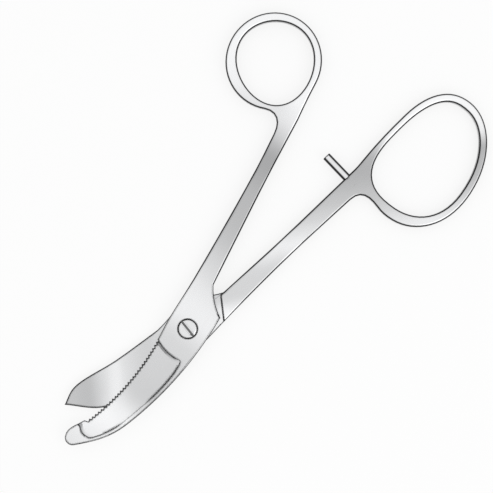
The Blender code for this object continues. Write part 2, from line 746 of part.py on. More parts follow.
def grind_cutter(name, edge, rim, depths, ends, matrix):
    """A ground face lofted from the cutting edge to its rim, with run-outs at its ends.

    edge and rim run together from heel to tip. depths gives the surface's height at the edge, its
    height at the rim as a function of x, its hollow and the height of the open face. ends gives
    the heel's bulge and the tip's, and whether the tip has a run-out too.
    """
    at_edge, rim_height, hollow, open_z = depths
    bulge, tip_bulge, tip_run_out = ends
    shares = [0, 0.012, 0.03, 0.055] + [0.055 + 0.89 * k / 14 for k in range(1, 14)]
    shares += [0.945, 0.97, 0.988, 1]
    lifts = {0: 1.0, 1: 0.42, 2: 0.1}
    across = [-0.25, 0.0, 0.22, 0.46, 0.7, 0.9, 0.965, 1.0]
    edge_at = resample(edge, shares)
    rim_at = resample(rim, shares)
    bm = bmesh.new()
    grid = []
    last = len(shares) - 1
    for i, share in enumerate(shares):
        lift = lifts.get(i, 0.0)
        if tip_run_out:
            lift = max(lift, lifts.get(last - i, 0.0))
        row = []
        along = (edge_at[min(i + 1, last)] - edge_at[max(i - 1, 0)]).normalized()
        at_rim = rim_height(rim_at[i].x)
        for f in across:
            place = edge_at[i].lerp(rim_at[i], f)
            if 0 < f < 1:
                round_end = bulge * max(0.0, 1 - share / 0.3)
                round_end += tip_bulge * max(0.0, 1 - (1 - share) / 0.15)
                place = place + along * (round_end * 4 * f * (1 - f))
            g = min(f / across[-2], 1.0)
            z = at_edge + (at_rim - at_edge) * g - hollow * 4 * max(g, 0.0) * (1 - g)
            if f == 1.0:
                z = open_z + RIM_SPARE
            z = z + (open_z + RIM_SPARE - z) * lift
            row.append(bm.verts.new((place.x, place.y, z)))
        grid.append(row)
    faces = []
    for i in range(last):
        for j in range(len(across) - 1):
            quad = [grid[i][j], grid[i][j + 1], grid[i + 1][j + 1], grid[i + 1][j]]
            faces.append(bm.faces.new(quad))
    made = bmesh.ops.extrude_face_region(bm, geom=faces)
    for vert in made["geom"]:
        if isinstance(vert, bmesh.types.BMVert):
            vert.co.z = open_z + CUT_SPARE
    bmesh.ops.recalc_face_normals(bm, faces=bm.faces)
    return new_object(name, bm, CUTTERS, matrix)


def cylinder(name, radius, low, high, sides, group, matrix):
    """A round bar along local Z."""
    bm = bmesh.new()
    bmesh.ops.create_cone(bm, cap_ends=True, segments=sides, radius1=radius, radius2=radius,
                          depth=high - low)
    bmesh.ops.translate(bm, verts=bm.verts, vec=(0, 0, (low + high) / 2))
    return new_object(name, bm, group, matrix)


def turned(name, profile, group, matrix):
    """A profile of radius and height, top to bottom, turned about local Z."""
    bm = bmesh.new()
    verts = [bm.verts.new((r, 0.0, z)) for r, z in profile]
    for a, b in zip(verts, verts[1:]):
        bm.edges.new((a, b))
    made = new_object(name, bm, group, matrix)
    spin = made.modifiers.new("turned", "SCREW")
    spin.axis = "Z"
    spin.steps = ROUND_SIDES
    spin.render_steps = ROUND_SIDES
    spin.use_merge_vertices = True
    spin.merge_threshold = 0.00001
    return made


def steel(name, tone, roughness):
    mat = bpy.data.materials.new(name)
    mat.use_nodes = True
    shader = mat.node_tree.nodes["Principled BSDF"]
    shader.inputs["Base Color"].default_value = (tone, tone, tone * 1.01, 1.0)
    shader.inputs["Metallic"].default_value = 1.0
    shader.inputs["Roughness"].default_value = roughness
    mat.diffuse_color = (tone, tone, tone, 1.0)
    return mat


def finish(made, tone, roughness):
    made.data.materials.append(steel(made.name + "_steel", tone, roughness))
    made.data.shade_smooth()
    made.data.set_sharp_from_angle(angle=math.radians(35))


LIFT = Matrix.Translation((0, 0, HALF))
T_FRAME = LIFT @ Matrix.Rotation(math.radians(REST_ANGLE / 2), 4, "Z")
TURN_OVER = Matrix.Rotation(math.pi, 4, "X")
P_FRAME = LIFT @ Matrix.Rotation(math.radians(-REST_ANGLE / 2), 4, "Z") @ TURN_OVER
WORLD = Matrix.Identity(4)

# Toothed half
t_outline, t_back = toothed_outline()
toothed_half = forging("toothed_half", t_outline, hole_points(T_HOLE, T_HOLE_STEPS), T_TIP_THIN, T_FRAME)
cut(toothed_half, lap_cutter("toothed_lap", T_HANDLE, T_FRAME), "lap")

t_edge = arc(*EDGE_CENTRE, T_EDGE_RADIUS, tooth_arc(BOSS_HEEL), tooth_arc(T_GRIND_END_X), 40)
rib_line = between(offset(t_back, rib_width), -T_GRIND_TIP_X, -T_GRIND_HEEL_X)
t_depths = (LAP_Z + T_GRIND_EDGE, toothed_rim, T_GRIND_HOLLOW, HALF)
t_ends = (T_GRIND_BULGE, T_GRIND_TIP_BULGE, True)
t_grind = grind_cutter("toothed_grind", t_edge, rib_line, t_depths, t_ends, T_FRAME)
cut(toothed_half, t_grind, "ground_face")
cut(toothed_half, tooth_file("tooth_file", T_FRAME), "teeth")

# Plain half
p_outline = plain_outline()
plain_half = forging("plain_half", p_outline, hole_points(P_HOLE, P_HOLE_STEPS), P_TIP_THIN, P_FRAME)
cut(plain_half, lap_cutter("plain_lap", P_HANDLE, P_FRAME), "lap")

p_edge = plain_edge()
past_tip = p_edge[-1] + (p_edge[-1] - p_edge[-2]).normalized() * P_GRIND_WIDTH
p_edge = p_edge[1:] + [past_tip]
p_rim = offset(p_edge, P_GRIND_WIDTH)
p_depths = (LAP_Z + P_GRIND_EDGE, plain_rim, P_GRIND_HOLLOW, HALF)
p_grind = grind_cutter("plain_grind", p_edge, p_rim, p_depths, (0.0, 0.0, False), P_FRAME)
cut(plain_half, p_grind, "ground_face")

# Pivot screw, its bores and its slot
head_top = JOINT_THICKNESS + SCREW_HEAD_RISE
head_low = JOINT_THICKNESS - SCREW_HEAD_DEPTH
neck_low = HALF + LAP_Z
r = SCREW_HEAD_RADIUS
screw_profile = [(0.0, head_top)]
for k in range(1, 5):
    t = k / 5
    screw_profile.append((r * 0.9 * t, head_top - SCREW_HEAD_RISE * 0.45 * t * t))
screw_profile += [
    (r * 0.9, head_top - SCREW_HEAD_RISE * 0.55),
    (r * 0.97, head_top - SCREW_HEAD_RISE * 0.9),
    (r, head_top - SCREW_HEAD_RISE * 1.5),
    (r, head_low),
    (SCREW_NECK_RADIUS, head_low),
    (SCREW_NECK_RADIUS, neck_low),
    (SCREW_THREAD_RADIUS, neck_low),
    (SCREW_THREAD_RADIUS, SCREW_END_BEVEL),
    (SCREW_THREAD_RADIUS - SCREW_END_BEVEL, 0.0),
    (0.0, 0.0),
]
pivot_screw = turned("pivot_screw", screw_profile, PARTS, WORLD)
bm = bmesh.new()
bmesh.ops.create_cube(bm, size=1.0)
bmesh.ops.scale(bm, vec=(r * 3, SLOT_WIDTH, SLOT_DEPTH * 2), verts=bm.verts)
slot_frame = Matrix.Translation((0, 0, head_top)) @ Matrix.Rotation(math.radians(SLOT_ANGLE), 4, "Z")
cut(pivot_screw, new_object("slot", bm, CUTTERS, slot_frame), "slot")

bore_sides = ROUND_SIDES
neck_bore = cylinder("neck_bore", SCREW_NECK_RADIUS + SCREW_FIT, -CUT_SPARE, JOINT_THICKNESS + CUT_SPARE,
                     bore_sides, CUTTERS, WORLD)
head_bore = cylinder("head_bore", SCREW_HEAD_RADIUS + SCREW_FIT, head_low - SCREW_SEAT,
                     JOINT_THICKNESS + CUT_SPARE, bore_sides, CUTTERS, WORLD)
thread_bore = cylinder("thread_bore", SCREW_THREAD_RADIUS + SCREW_FIT, -CUT_SPARE, HALF,
                       bore_sides, CUTTERS, WORLD)
cut(toothed_half, neck_bore, "neck_bore")
cut(toothed_half, head_bore, "head_bore")
cut(plain_half, thread_bore, "thread_bore")

# Stop pin, along the plain half's -y
ACROSS = P_FRAME @ Matrix.Translation((PIN_X, 0, 0)) @ Matrix.Rotation(math.pi / 2, 4, "X")
stop_pin = cylinder("stop_pin", PIN_RADIUS, -PIN_SEAT, PIN_REACH, PIN_SIDES, PARTS, ACROSS)
ends = stop_pin.modifiers.new("end_bevel", "BEVEL")
ends.limit_method = "ANGLE"
ends.angle_limit = math.radians(50)
ends.width = PIN_BEVEL
ends.segments = 2
pin_bore = cylinder("pin_bore", PIN_RADIUS + PIN_FIT, -PIN_SEAT - SCREW_SEAT, PIN_REACH,
                    PIN_SIDES, CUTTERS, ACROSS)
cut(plain_half, pin_bore, "pin_bore")

finish(toothed_half, 0.80, 0.24)
finish(plain_half, 0.76, 0.26)
finish(pivot_screw, 0.82, 0.20)
finish(stop_pin, 0.80, 0.22)
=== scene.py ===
"""Looks for a pair of plaster shears: polished steel halves, pivot screw and stop pin on a pale table.

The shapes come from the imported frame. Each solid is taken over as a finished piece: its corners are
welded, its sharp edges are broken as a polishing wheel breaks them, and it gets a steel of its own.
Lengths are in metres and angles in degrees unless a name or a comment says otherwise.
"""
import json
import math

import bmesh
import bpy
from bpy.props import FloatProperty, FloatVectorProperty, IntProperty, PointerProperty
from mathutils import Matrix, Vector


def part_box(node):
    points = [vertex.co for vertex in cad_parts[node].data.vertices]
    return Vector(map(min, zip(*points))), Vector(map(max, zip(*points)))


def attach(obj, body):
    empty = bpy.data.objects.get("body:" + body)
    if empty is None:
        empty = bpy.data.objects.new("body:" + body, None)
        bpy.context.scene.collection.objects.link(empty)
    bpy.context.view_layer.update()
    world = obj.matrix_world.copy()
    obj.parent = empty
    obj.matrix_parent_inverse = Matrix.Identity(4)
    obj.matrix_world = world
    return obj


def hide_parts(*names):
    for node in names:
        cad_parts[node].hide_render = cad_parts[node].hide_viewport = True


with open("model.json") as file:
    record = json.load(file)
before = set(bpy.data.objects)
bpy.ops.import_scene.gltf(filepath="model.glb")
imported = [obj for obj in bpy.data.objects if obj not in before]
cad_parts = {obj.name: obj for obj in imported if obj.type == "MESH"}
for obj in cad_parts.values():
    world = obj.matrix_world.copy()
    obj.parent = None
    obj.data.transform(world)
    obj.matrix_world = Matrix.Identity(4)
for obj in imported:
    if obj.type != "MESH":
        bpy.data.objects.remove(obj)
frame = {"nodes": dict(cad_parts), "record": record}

bl_info = {
    "name": "Plaster shears looks",
    "version": (1, 0, 0),
    "blender": (4, 5, 0),
    "location": "View3D > Sidebar > Shears",
    "description": "Finishes the halves, the screw and the pin of a pair of plaster shears",
    "category": "Object",
}

MM = 0.001
BLACK = (0.0, 0.0, 0.0, 1.0)
WHITE = (1.0, 1.0, 1.0, 1.0)

# How the shears lie: the half angle between the shanks, the camera's roll against +X, the middle of
# the view, and the height of the middle of the joint
HALF_ANGLE = 9.15
CAMERA_ROLL = -52.85
VIEW_CENTRE = (0.0459, 0.0013)
MID_HEIGHT = 0.0033

# Width of the camera's sensor in millimetres, and how far the table lies below the shears, so that
# no two faces share one plane
SENSOR_WIDTH = 36.0
TABLE_DROP = 0.00002

# How the sky brightens from level to overhead: height of the direction and share of the way
SKY_STOPS = ((0.0, 0.0), (0.25, 0.12), (0.5, 0.55), (0.75, 0.92), (1.0, 1.0))

# Power between the brightness that the eye sees and linear light
EYE_POWER = 2.2

# Upward share of the normal for the painted shade: upright sides, painted darker, end at the first,
# the painted dark line over a rounding runs between the next two, and unshaded faces start at the last
UPRIGHT = 0.04
LINE_LOW = 0.20
LINE_HIGH = 0.80
FACE_UP = 0.955

# Turn of the normal near a sharp edge, as 1 less its cosine, where the painted dark line along the
# edge starts and is full, and how many rays look for the edge
LINE_START = 0.004
LINE_FULL = 0.022
LINE_SAMPLES = 8

# Where along a half the wider painted lines of the blade give way to those of the handle, where the
# lean of the tones changes over, and where the ground face ends at the heel
BLADE_HEEL = (-0.014, -0.008)
LEAN_BLEND = (-0.012, 0.012)
GROUND_HEEL = (-0.014, -0.009)

# How far before its centre a ring's own tones and grain begin and take over from the shank's
RING_BLEND = (0.030, 0.016)

# Tilt of the ground face, as 1 less the upward share of its normal: where its finish sets in, and
# where it fades out towards the steeper sides
GROUND_STARTS = (0.004, 0.012)
GROUND_FADES = (0.06, 0.12)

# The ground face's end walls, below the guard and at the heel: where each begins and ends along the
# half, the height where its painted dark rim begins, and which way along the half it faces
END_WALLS = ((-0.0665, -0.0600, 0.00555, 1.0), (-0.0165, -0.0100, 0.00590, -1.0))

# Over what length and height those walls fade in and out, and the least and full share of their
# normal that points along the half
END_FADE = 0.0005
RIM_FADE = 0.0001
END_FACING = (0.30, 0.45)

# The toothed edge's arc in the frame of its half: centre and radius, and how far to each side of
# it the lines stay slim
TEETH_CENTRE = (-0.0090, 0.1267)
TEETH_RADIUS = 0.1171
TEETH_CLEAR = (0.0012, 0.0018)

# Centres of the rings in the frame of each half: x along its shank, y outwards, which is also
# about the ring's radius
THUMB_RING = (0.1257, 0.0226)
FINGER_RING = (0.1326, 0.0215)

# Painted reflections and shade of the steel: its brightness, as the eye sees it, at places along each
# half in millimetres from the pivot, blade to ring, darker over the wide flats and brighter at the
# ends and rings.
TOOTHED_PAINTED_SHADING = (
    (-74, 0.92), (-66, 0.955), (-54, 0.99), (-46, 0.93), (-38, 0.84), (-26, 0.835), (-14, 0.85),
    (-6, 0.875), (6, 0.95), (22, 0.90), (38, 0.81), (50, 0.755), (66, 0.725), (86, 0.675),
    (94, 0.79), (102, 0.90), (112, 0.95),
)
PLAIN_PAINTED_SHADING = (
    (-72, 0.78), (-59, 0.77), (-50, 0.895), (-45, 0.945), (-40, 0.905), (-32, 0.855), (-20, 0.845),
    (4, 0.98), (11, 0.965), (18, 0.87), (26, 0.845), (40, 0.865), (52, 0.945), (60, 0.915),
    (68, 0.86), (78, 0.80), (90, 0.75), (112, 0.68),
)

# How far those painted tones lean: places are counted this much further for each unit outwards, on
# the blade and on the handle
TOOTHED_LEAN = (-0.2, -0.2)
PLAIN_LEAN = (0.8, -1.4)

# Painted reflections and shade round each ring: brightness in degrees from its far end, turning
# outwards
THUMB_PAINTED_SHADING = (
    (-180, 0.93), (-158, 0.915), (-143, 0.92), (-122, 0.98), (-30, 0.97), (100, 0.985),
    (142, 0.965), (180, 0.93),
)
FINGER_PAINTED_SHADING = (
    (-180, 0.82), (-160, 0.745), (-143, 0.715), (-128, 0.77), (-112, 0.925), (-98, 0.975),
    (11, 0.96), (25, 0.745), (40, 0.73), (67, 0.765), (97, 0.85), (127, 0.93), (150, 0.92),
    (180, 0.82),
)

# Slow drift of the finish: waves per metre on the halves and on the small pieces, how far it moves
# the tones along a half, and how far round a ring, in radians
DRIFT_SCALE = 70.0
SMALL_DRIFT_SCALE = 300.0
DRIFT_ALONG = 0.005
DRIFT_ROUND = 0.2

# Brightness of the small pieces, as the eye sees it, and how the lathe's rings on them compare
# with the polishing lines: their number and their depth
SCREW_TONE = 0.91
PIN_TONE = 0.92
LATHE_SCALE = 0.8
LATHE_DEPTH = 1.5

# The screwdriver slot: its depth, its angle from +X, between which heights above its floor the
# painted shade in the slot fades, how far its floor must face up, and how far to each side of its
# middle line no edge gets painted shade
SLOT_DEPTH = 0.0008
SLOT_ANGLE = 76.0
SLOT_RISE = (0.0001, 0.0003)
SLOT_FACING = (0.5, 0.9)
SLOT_CLEAR = (0.0008, 0.0010)


def tone_to_light(tone):
    """Linear light of a tone as the eye sees it."""
    return tone ** EYE_POWER


class ShearsSizes(bpy.types.PropertyGroup):
    """Sizes of the finishing work on the edges."""

    weld: FloatProperty(
        name="Weld distance", description="Corners closer than this are one corner",
        default=0.000002, min=0, precision=7, subtype="DISTANCE", unit="LENGTH")
    edge_break: FloatProperty(
        name="Edge break", description="Width of the polished bevel along every sharp edge",
        default=0.00007, min=0, precision=6, subtype="DISTANCE", unit="LENGTH")
    edge_steps: IntProperty(
        name="Edge steps", description="Facets across that bevel", default=2, min=1, max=6)
    sharp_angle: FloatProperty(
        name="Sharp angle", description="Edges that turn by more than this are sharp",
        default=math.radians(30), subtype="ANGLE", unit="ROTATION")
    flat_angle: FloatProperty(
        name="Flat angle", description="Faces that turn by less than this are one face",
        default=math.radians(0.2), subtype="ANGLE", unit="ROTATION")


class SteelLook(bpy.types.PropertyGroup):
    """Colour and finish of the steel."""

    tint: FloatVectorProperty(
        name="Tint", description="Colour of the steel at full brightness",
        default=(0.985, 0.99, 1.0), size=3, min=0, max=1, subtype="COLOR")
    brightness: FloatProperty(
        name="Brightness", description="Share of the light that the brightest steel gives back",
        default=0.90, min=0, max=1, subtype="FACTOR")
    satin: FloatProperty(
        name="Satin roughness", description="Roughness of shanks, rings and joint",
        default=0.27, min=0, max=1, subtype="FACTOR")
    ground: FloatProperty(
        name="Ground roughness", description="Roughness of the ground blade faces",
        default=0.33, min=0, max=1, subtype="FACTOR")
    polished: FloatProperty(
        name="Polished roughness", description="Roughness of screw head and pin",
        default=0.20, min=0, max=1, subtype="FACTOR")
    grain_pitch: FloatProperty(
        name="Grain pitch", description="Distance between the fine polishing lines",
        default=0.00022, min=0.00001, precision=6, subtype="DISTANCE", unit="LENGTH")
    grain_length: FloatProperty(
        name="Grain length", description="How far a polishing line runs",
        default=0.012, min=0.0001, subtype="DISTANCE", unit="LENGTH")
    grain_depth: FloatProperty(
        name="Grain depth", description="Depth of the polishing lines",
        default=0.0000016, min=0, precision=8, subtype="DISTANCE", unit="LENGTH")
    grain_contrast: FloatProperty(
        name="Grain contrast", description="How much the polishing lines change the brightness",
        default=0.055, min=0, max=1, subtype="FACTOR")
    grain_roughness: FloatProperty(
        name="Grain roughness", description="How much polishing and lathe lines change the roughness",
        default=0.10, min=0, max=1, subtype="FACTOR")
    lathe_contrast: FloatProperty(
        name="Lathe contrast", description="How much the lathe's rings change the brightness",
        default=0.08, min=0, max=1, subtype="FACTOR")
    drift_share: FloatProperty(
        name="Drift", description="How much the slow drift changes roughness or brightness",
        default=0.06, min=0, max=1, subtype="FACTOR")
    # Painted shade: the upright sides' base colour is darkened by their normal's direction
    side_painted_shade: FloatProperty(
        name="Side brightness", description="Share of that light that the unpolished sides give back",
        default=0.55, min=0, max=1, subtype="FACTOR")
    # Painted shade: a dark line in the base colour along every sharp edge and over every rounding
    line_width: FloatProperty(
        name="Line width", description="Width of the darker line that is left along a sharp edge",
        default=0.00105, min=0, precision=6, subtype="DISTANCE", unit="LENGTH")
    blade_line_width: FloatProperty(
        name="Blade line width", description="Width of that line along the blades",
        default=0.00150, min=0, precision=6, subtype="DISTANCE", unit="LENGTH")
    line_painted_shade: FloatProperty(
        name="Line brightness", description="Share of the light that such a line gives back",
        default=0.045, min=0, max=1, subtype="FACTOR")
    # Painted shade on the ground face's end walls below their rims, lighter than the painted lines
    wall_painted_shade: FloatProperty(
        name="Wall brightness",
        description="Share of the light that the ground face's end walls give back below their rims",
        default=0.90, min=0, max=1, subtype="FACTOR")
    # Painted shade on the floor of the screwdriver slot
    slot_painted_shade: FloatProperty(
        name="Slot brightness", description="Share of the light that the floor of the slot gives back",
        default=0.20, min=0, max=1, subtype="FACTOR")
    wave_depth: FloatProperty(
        name="Wave depth", description="Height of the slow waves that hand polishing leaves",
        default=0.00004, min=0, precision=7, subtype="DISTANCE", unit="LENGTH")
    wave_scale: FloatProperty(
        name="Wave scale", description="How many of those waves there are in a metre",
        default=45.0, min=0)


class StageLook(bpy.types.PropertyGroup):
    """Camera, light and table."""

    lens: FloatProperty(
        name="Lens", description="Focal length in millimetres", default=135, min=20, max=300)
    view_width: FloatProperty(
        name="View width", description="Width of table that the camera sees",
        default=0.2245, min=0.01, subtype="DISTANCE", unit="LENGTH")
    table_size: FloatProperty(
        name="Table size", description="Side of the table top", default=8.0, min=0.5,
        subtype="DISTANCE", unit="LENGTH")
    table_colour: FloatVectorProperty(
        name="Table colour", description="Colour of the pale table", default=(0.90, 0.90, 0.90),
        size=3, min=0, max=1, subtype="COLOR")
    background_share: FloatProperty(
        name="Background share", description="How much of the plain white shows over the table",
        default=0.80, min=0, max=1, subtype="FACTOR")
    zenith: FloatProperty(
        name="Zenith light", description="Brightness of the soft light overhead", default=1.08, min=0)
    horizon: FloatProperty(
        name="Horizon light", description="Brightness of the light near the table", default=0.50, min=0)
    lamp_power: FloatProperty(
        name="Lamp power", description="Power of the soft lamp", default=1.6, min=0,
        subtype="POWER", unit="POWER")
    lamp_size: FloatProperty(
        name="Lamp size", description="Side of the soft lamp", default=0.8, min=0.01,
        subtype="DISTANCE", unit="LENGTH")
    lamp_place: FloatVectorProperty(
        name="Lamp place", description="Where the soft lamp hangs", default=(0.05, -0.75, 0.80),
        size=3, subtype="TRANSLATION", unit="LENGTH")


class Wire:
    """The value of a socket, so that shader maths reads as a Python expression."""

    def __init__(self, shop, socket):
        self.shop = shop
        self.socket = socket

    def __add__(self, other):
        return self.shop.maths("ADD", self, other)

    def __radd__(self, other):
        return self.shop.maths("ADD", other, self)

    def __sub__(self, other):
        return self.shop.maths("SUBTRACT", self, other)

    def __rsub__(self, other):
        return self.shop.maths("SUBTRACT", other, self)

    def __mul__(self, other):
        return self.shop.maths("MULTIPLY", self, other)

    def __rmul__(self, other):
        return self.shop.maths("MULTIPLY", other, self)

    def __truediv__(self, other):
        return self.shop.maths("DIVIDE", self, other)

    def __rtruediv__(self, other):
        return self.shop.maths("DIVIDE", other, self)


class NodeShop:
    """Makes the nodes of one tree and links them."""

    def __init__(self, tree):
        self.tree = tree
        tree.nodes.clear()

    def node(self, kind, settings=None, values=None, output=0):
        """A node of a kind, its settings set first, then the values or links of its sockets."""
        made = self.tree.nodes.new(kind)
        for key, value in (settings or {}).items():
            if key == "stops":
                self.set_stops(made.color_ramp, value)
            elif key == "curve":
                made.color_ramp.interpolation = value
            else:
                setattr(made, key, value)
        for key, value in (values or {}).items():
            if isinstance(value, Wire):
                self.tree.links.new(value.socket, made.inputs[key])
            else:
                made.inputs[key].default_value = value
        return Wire(self, made.outputs[output]) if made.outputs else None

    @staticmethod
    def set_stops(ramp, stops):
        """Gives a ramp its stops, each a position and a grey."""
        while len(ramp.elements) < len(stops):
            ramp.elements.new(1.0)
        for element, (place, grey) in zip(ramp.elements, stops):
            element.position = place
            element.color = (grey, grey, grey, 1.0)

    def maths(self, operation, *values):
        """A number worked out from one or two others."""
        return self.node("ShaderNodeMath", {"operation": operation}, dict(enumerate(values)))

    def vectors(self, operation, *values, output="Value"):
        """What an operation makes of one or two vectors: a number, unless the output says Vector."""
        return self.node(
            "ShaderNodeVectorMath", {"operation": operation}, dict(enumerate(values)), output)

    def coordinates(self, kind):
        """Object for a point of a piece, Normal for its surface there, Generated for the sky."""
        return self.node("ShaderNodeTexCoord", None, None, kind)

    def part(self, vector, axis):
        """One of a vector's three numbers: X, Y or Z."""
        return self.node("ShaderNodeSeparateXYZ", None, {0: vector}, axis)

    def point(self, x, y, z):
        """A vector from three numbers."""
        return self.node("ShaderNodeCombineXYZ", None, {0: x, 1: y, 2: z})

    def ramp(self, value, stops):
        """A smooth grey curve over a value, through stops of value and grey."""
        low, high = stops[0][0], stops[-1][0]
        spots = [((place - low) / (high - low), grey) for place, grey in stops]
        share = (value - low) / (high - low)
        return self.node("ShaderNodeValToRGB", {"curve": "CARDINAL", "stops": spots}, {"Fac": share})

    def fade(self, value, low, high):
        """0 below low, 1 above high, and smooth between."""
        return self.node(
            "ShaderNodeMapRange", {"interpolation_type": "SMOOTHSTEP"},
            {"Value": value, "From Min": low, "From Max": high, "To Min": 0.0, "To Max": 1.0})

    def mixed(self, factor, first, second):
        """A value that goes from first to second."""
        return self.node("ShaderNodeMix", {"data_type": "FLOAT"}, {0: factor, 2: first, 3: second})

    def coloured(self, factor, colour):
        """A colour scaled by a value."""
        return self.node(
            "ShaderNodeMix", {"data_type": "RGBA"}, {0: factor, 6: BLACK, 7: (*colour, 1.0)}, 2)

    def noise(self, place, scale, detail, roughness):
        """Smooth noise between about 0 and 1."""
        return self.node(
            "ShaderNodeTexNoise", {"noise_dimensions": "3D"},
            {"Vector": place, "Scale": scale, "Detail": detail, "Roughness": roughness})

    def drift(self, place, scale):
        """Slow noise, with about so many waves in a metre."""
        return self.noise(place, scale, detail=1.0, roughness=0.5)

    def grain(self, x, y, z, scale=1.0):
        """Fine uneven noise over places that are counted in lines."""
        return self.noise(self.point(x, y, z), scale, detail=2.0, roughness=0.6)


class HalfPlaces:
    """Where a point lies on one half: along its shank, outwards from it, and round its ring.

    The side is 1 for the half whose ring lies towards +Y, and -1 for the other.
    """

    def __init__(self, shop, side, ring):
        turn = math.radians(HALF_ANGLE)
        self.shop = shop
        self.point = shop.coordinates("Object")
        x = shop.part(self.point, "X")
        y = shop.part(self.point, "Y")
        self.height = shop.part(self.point, "Z")
        normal = shop.coordinates("Normal")
        self.up = shop.part(normal, "Z")
        self.facing = shop.vectors("DOT_PRODUCT", normal, (math.cos(turn), side * math.sin(turn), 0.0))
        self.along = x * math.cos(turn) + y * (side * math.sin(turn))
        self.outwards = y * (side * math.cos(turn)) - x * math.sin(turn)
        self.radius = self.distance(*ring)
        self.turned = shop.maths("ARCTAN2", self.outwards - ring[1], self.along - ring[0])

    def distance(self, x, y):
        """How far the point lies from a place in the half's frame, seen from above."""
        return self.shop.vectors("LENGTH", self.shop.point(self.along - x, self.outwards - y, 0.0))


def swing(noise, amount):
    """A noise as a change up or down, by up to about half an amount."""
    return (noise - 0.5) * amount


def stops_at(painted_shading, unit):
    """Stops of a ramp from tones at places that are counted in a unit."""
    return [(place * unit, tone_to_light(tone)) for place, tone in painted_shading]


def side_shade(shop, look, up, turning):
    """Painted shade: 1 on faces, turning's share where a rounding turns over, and the sides' share
    below.
    """
    level = shop.maths("ABSOLUTE", up)
    low = shop.mixed(shop.fade(level, UPRIGHT, LINE_LOW), look.side_painted_shade, turning)
    return shop.mixed(shop.fade(level, LINE_HIGH, FACE_UP), low, 1.0)


def edge_shade(shop, look, width):
    """Painted shade along sharp edges: 1 away from them, and the lines' share where two faces meet."""
    rounded = shop.node("ShaderNodeBevel", {"samples": LINE_SAMPLES}, {"Radius": width})
    plain = shop.node("ShaderNodeNewGeometry", None, None, "Normal")
    turned = 1.0 - shop.vectors("DOT_PRODUCT", rounded, plain)
    return shop.mixed(shop.fade(turned, LINE_START, LINE_FULL), 1.0, look.line_painted_shade)


def beside_teeth(shop, place):
    """1 along the toothed edge's arc."""
    sideways = shop.maths("ABSOLUTE", place.distance(*TEETH_CENTRE) - TEETH_RADIUS)
    return 1.0 - shop.fade(sideways, *TEETH_CLEAR)


def ground_face(shop, place):
    """1 on the ground blade face, which is a little tilted, and 0 on level faces and on the sides."""
    tilt = 1.0 - place.up
    tilted = shop.fade(tilt, *GROUND_STARTS) * (1.0 - shop.fade(tilt, *GROUND_FADES))
    return tilted * (1.0 - shop.fade(place.along, *GROUND_HEEL))


def ground_ends(shop, place, ground):
    """The walls that close the ground face, up to their painted dark rims, and those with the face
    before them.
    """
    walls = near = 0.0
    for low, high, rim, way in END_WALLS:
        begun = shop.fade(place.along, low - END_FADE, low)
        there = begun * (1.0 - shop.fade(place.along, high, high + END_FADE))
        facing = shop.fade(place.facing * way, *END_FACING)
        wall = there * facing * (1.0 - shop.fade(place.height, rim, rim + RIM_FADE))
        walls = wall + walls
        near = there * ground * (1.0 - wall) + near
    return walls, walls + near


def half_lines(shop, look, place, ground, toothed):
    """Share of the light that is left by the painted dark lines along a half's edges and roundings.

    On the toothed half they stay slim beside the teeth. At the ends of its ground face only the
    rims of the walls get painted dark lines.
    """
    turning = look.line_painted_shade
    unlined = 0.0
    slim = shop.fade(place.along, *BLADE_HEEL)
    if toothed:
        teeth = beside_teeth(shop, place)
        slim = slim + teeth * (1.0 - slim)
        walls, ends = ground_ends(shop, place, ground)
        turning = shop.mixed(walls, turning, look.wall_painted_shade)
        unlined = ends * (1.0 - teeth)
    width = shop.mixed(slim, look.blade_line_width, look.line_width)
    edges = shop.mixed(unlined, edge_shade(shop, look, width), 1.0)
    return side_shade(shop, look, place.up, turning) * edges


def half_grain(shop, look, place, ring, in_ring, ground):
    """Polishing lines along the shank, round the ring and across the ground face."""
    height = place.height / look.grain_pitch
    shank = shop.grain(place.along / look.grain_length, place.outwards / look.grain_pitch, height)
    blade = shop.grain(place.along / look.grain_pitch, place.outwards / look.grain_length, 0.0)
    around = shop.grain(
        place.turned * (ring[1] / look.grain_length), place.radius / look.grain_pitch, height)
    return shop.mixed(ground, shop.mixed(in_ring, shank, around), blade)


def polished_steel(shop, look, light, roughness, height):
    """The steel's shader, from its brightness, its roughness and the height of its fine relief."""
    relief = shop.node("ShaderNodeBump", None, {"Strength": 1.0, "Distance": 1.0, "Height": height})
    shader = shop.node(
        "ShaderNodeBsdfPrincipled", None,
        {"Base Color": shop.coloured(light, look.tint), "Metallic": 1.0, "Roughness": roughness,
         "Normal": relief})
    shop.node("ShaderNodeOutputMaterial", None, {"Surface": shader})


def new_material(name):
    """A material with an empty tree, and the shop that fills it."""
    material = bpy.data.materials.new(name)
    material.use_nodes = True
    return material, NodeShop(material.node_tree)


